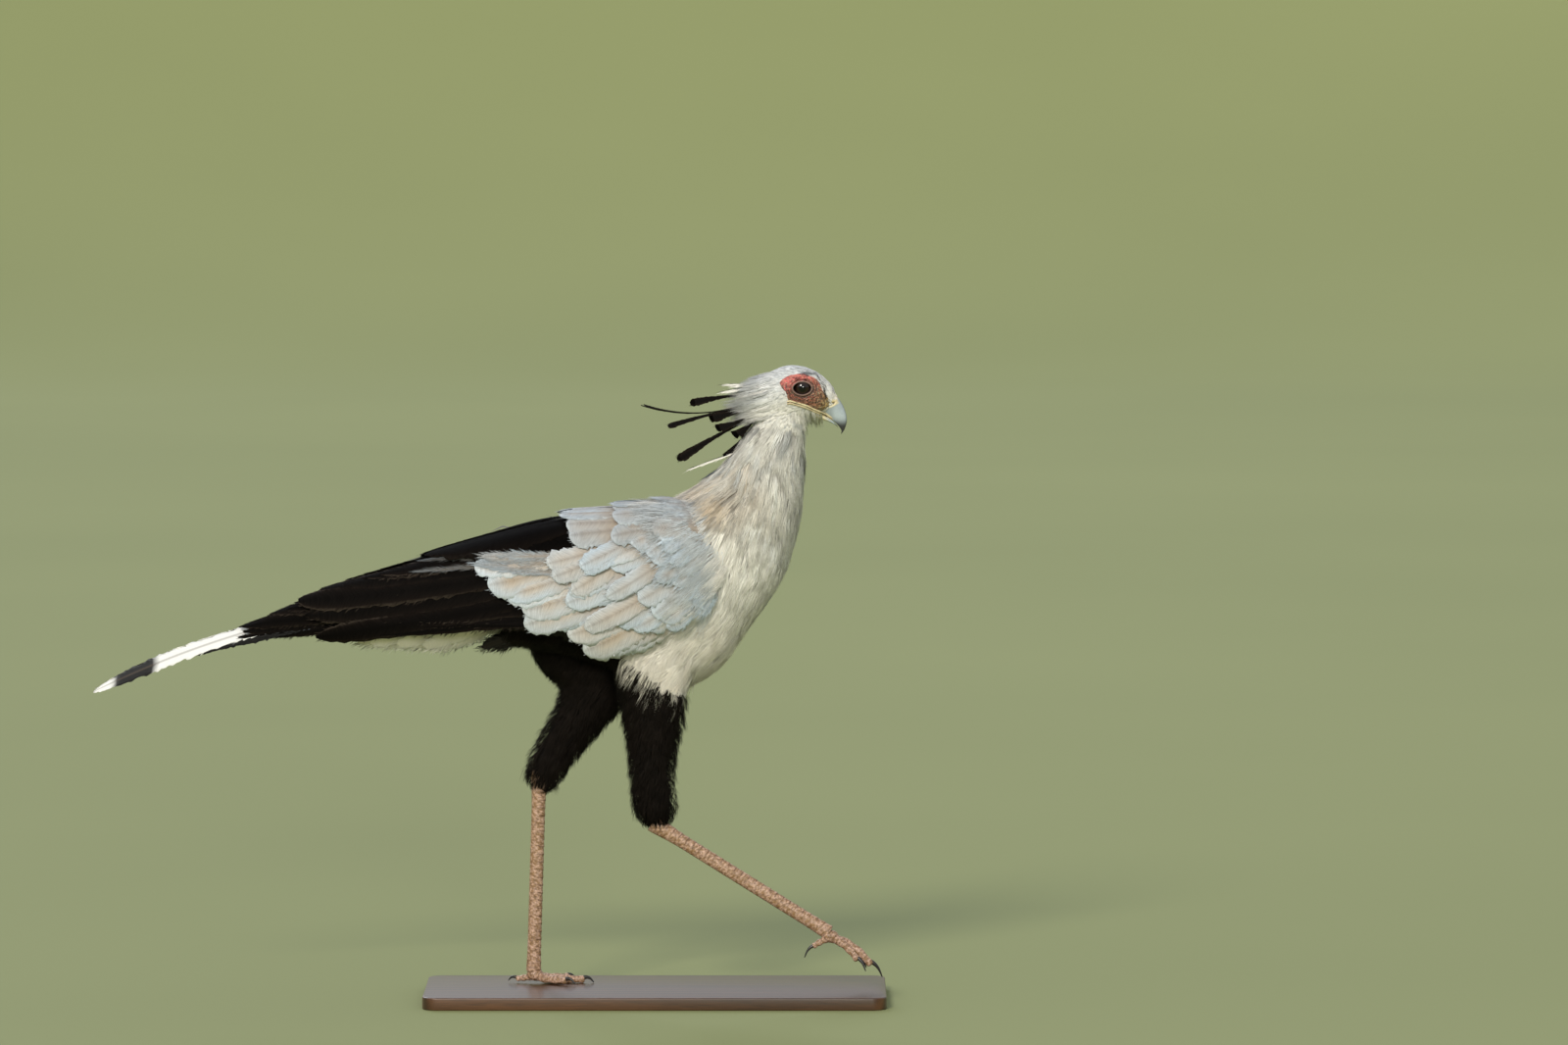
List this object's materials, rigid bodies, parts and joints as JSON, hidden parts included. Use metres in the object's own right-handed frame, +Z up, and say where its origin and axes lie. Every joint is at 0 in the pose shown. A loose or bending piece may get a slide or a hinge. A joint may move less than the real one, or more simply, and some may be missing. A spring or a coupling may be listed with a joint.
{
  "type": "secretary bird model",
  "caption": "Life-size still model of a walking secretary bird, one foot lifted, with folded wings, long tail and crest, on a plain base.",
  "frame": {"origin": "the middle of the underside of the display base", "axes": "+X is the way the bird walks and looks, +Y its left, +Z up"},
  "size_m": [1.1321, 0.27, 0.911],
  "materials": {
    "white_feathers": "matte overlapping body feathers, white with cream and pale grey",
    "grey_feathers": "matte wing coverts, pale blue-grey with buff wear at the edges",
    "black_feathers": "brown-black flight feathers and thighs, faint sheen along the vanes",
    "face_skin": "bare wrinkled skin, red round the eye and orange at the bill",
    "bill": "smooth satin horn, blue-grey with a dark hooked tip",
    "eye": "polished, dark brown",
    "leg_scales": "pinkish tan scaled skin, low sheen",
    "claws": "dark satin horn",
    "base_wood": "dark oiled hardwood, satin"
  },
  "bodies": {
    "root": {"head": "white_feathers", "bill_upper": "bill", "bill_lower": "bill", "eye_left": "eye", "eye_right": "eye", "neck": "white_feathers", "torso": "white_feathers", "wing_left": "grey_feathers", "wing_right": "grey_feathers", "tail": "black_feathers", "thigh_left": "black_feathers", "thigh_right": "black_feathers", "tarsus_left": "leg_scales", "tarsus_right": "leg_scales", "foot_left": "leg_scales", "foot_right": "leg_scales", "claw_left_middle": "claws", "claw_left_inner": "claws", "claw_left_outer": "claws", "claw_left_hind": "claws", "claw_right_middle": "claws", "claw_right_inner": "claws", "claw_right_outer": "claws", "claw_right_hind": "claws", "stand_base": "base_wood"}
  },
  "joints": []
}
